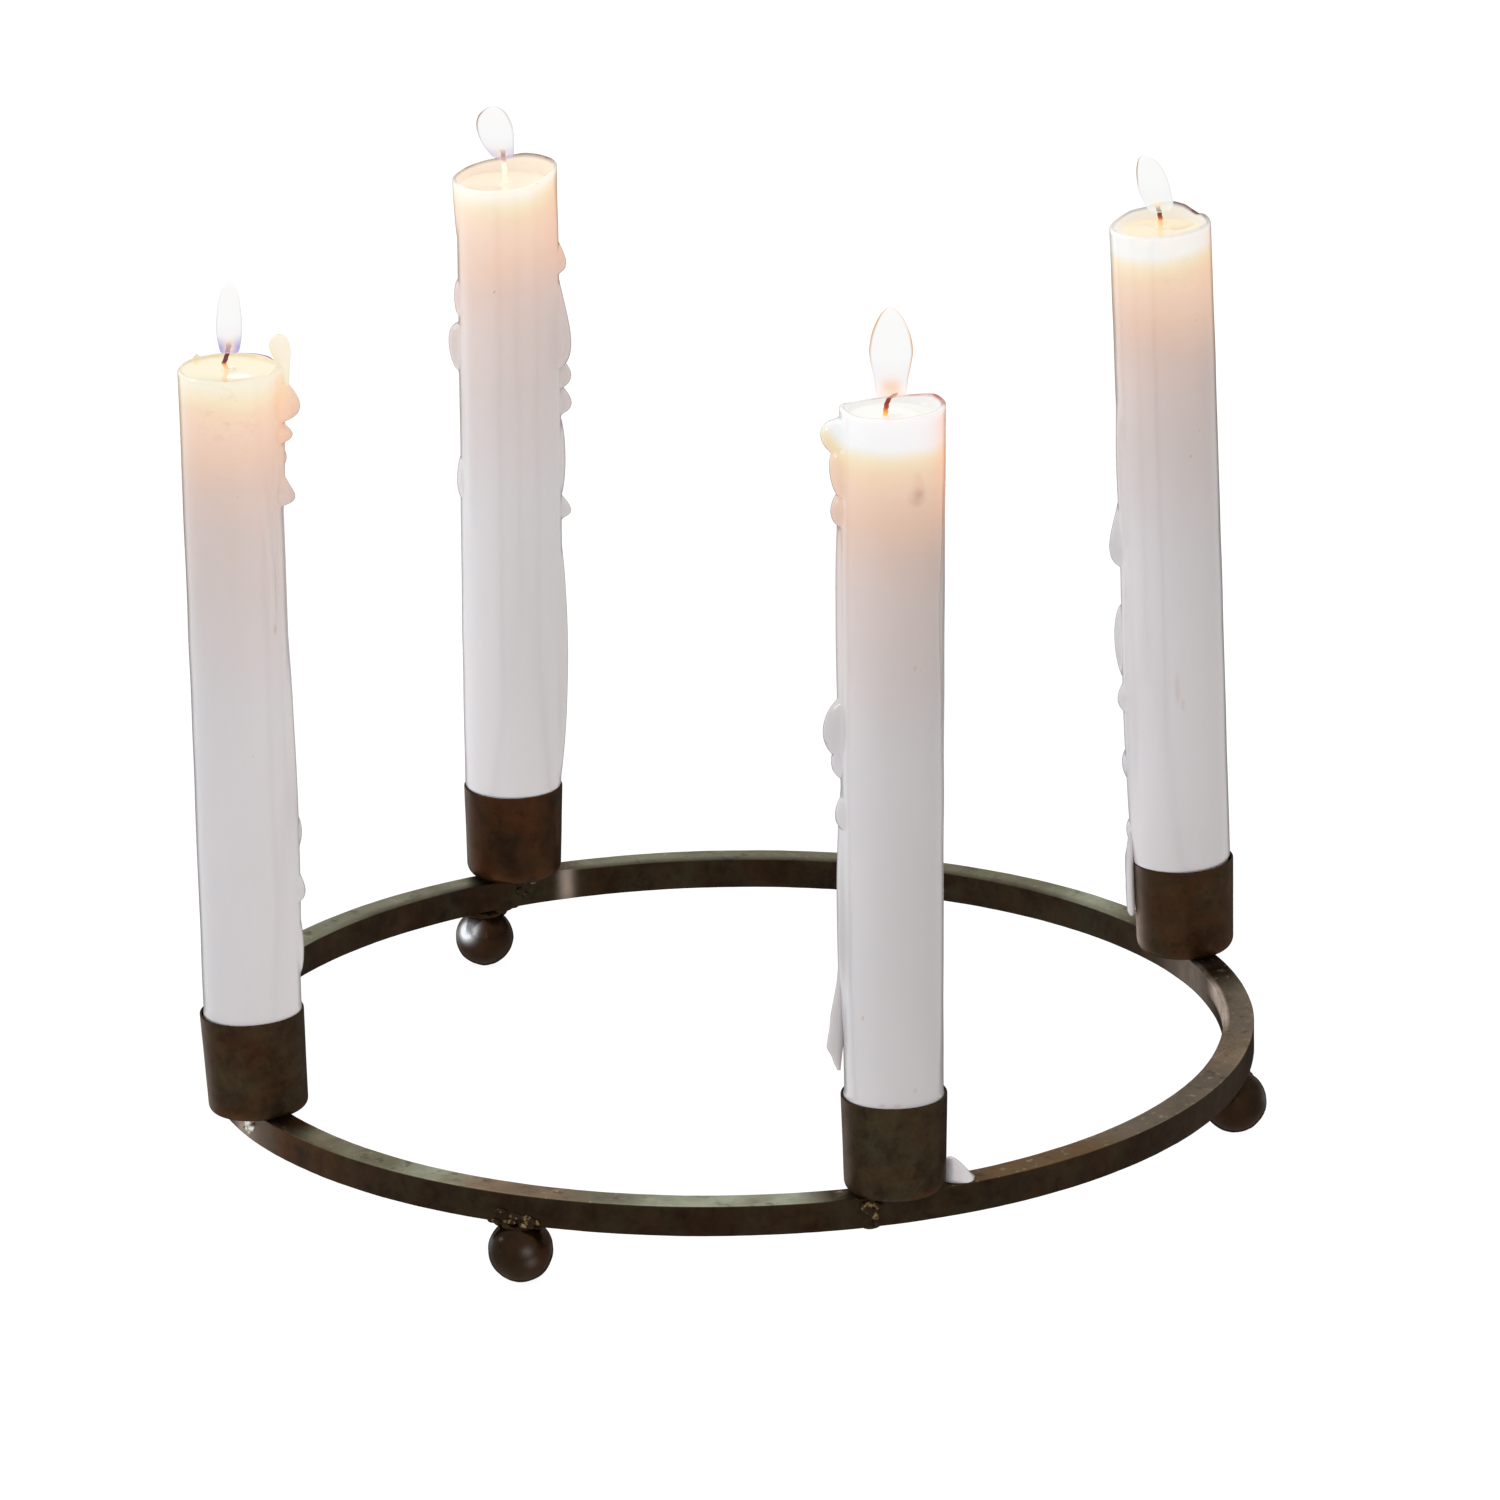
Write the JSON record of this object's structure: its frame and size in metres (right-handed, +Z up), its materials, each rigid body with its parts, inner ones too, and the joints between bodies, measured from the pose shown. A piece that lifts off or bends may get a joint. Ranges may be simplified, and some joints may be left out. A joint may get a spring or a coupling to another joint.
{
  "type": "candle ring",
  "caption": "Flat iron ring on small ball feet, with low round cups that hold half-burnt dinner candles with runs of wax.",
  "frame": {"origin": "centre of the ring, on the surface that the ball feet stand on", "axes": "+Z up along the candles and normal to the ring; +X and +Y lie in the ring's plane, and the picture looks from between -Y and +X, 40 degrees round from -Y"},
  "size_m": [0.25, 0.2508, 0.2149],
  "materials": {
    "iron": "dark brown waxed wrought iron",
    "wax": "satin candle wax",
    "wick": "burnt cotton"
  },
  "bodies": {
    "root": {"ring_bar": "iron", "cup_1": "iron", "cup_2": "iron", "cup_3": "iron", "cup_4": "iron", "ball_foot_1": "iron", "ball_foot_2": "iron", "ball_foot_3": "iron", "candle_1": "wax", "candle_2": "wax", "candle_3": "wax", "candle_4": "wax", "wax_spill": "wax", "wick_1": "wick", "wick_2": "wick", "wick_3": "wick", "wick_4": "wick"}
  },
  "joints": []
}
